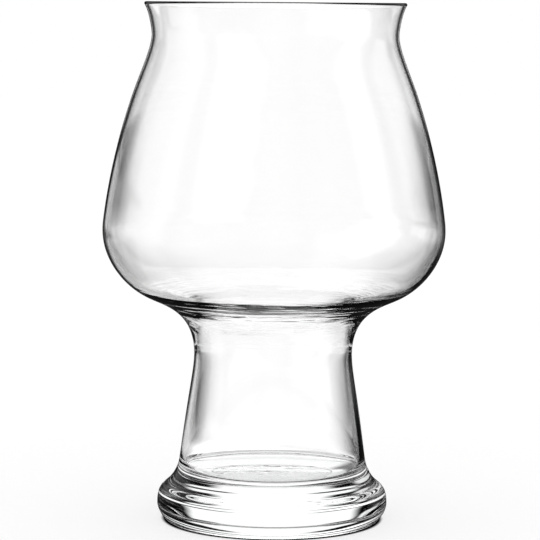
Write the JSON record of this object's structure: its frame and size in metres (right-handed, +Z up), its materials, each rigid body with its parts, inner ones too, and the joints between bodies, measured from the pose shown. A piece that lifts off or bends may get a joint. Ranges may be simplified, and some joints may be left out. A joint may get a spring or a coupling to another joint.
{
  "type": "beer glass",
  "caption": "Clear drinking glass for beer or cider: bulb-shaped bowl with a flared lip, short hollow stem open to the bowl, thick flared foot with a hollow underside.",
  "frame": {"origin": "middle of the foot's contact ring, on the table, under the bounding box", "axes": "+Z up along the glass's axis of symmetry and its longest side; the glass is round, so +X and +Y are free, and the picture looks along +Y"},
  "size_m": [0.0946, 0.0946, 0.1432],
  "materials": {
    "glass": "clear, colourless, polished"
  },
  "bodies": {
    "root": {"bowl": "glass", "stem": "glass", "foot": "glass"}
  },
  "joints": []
}
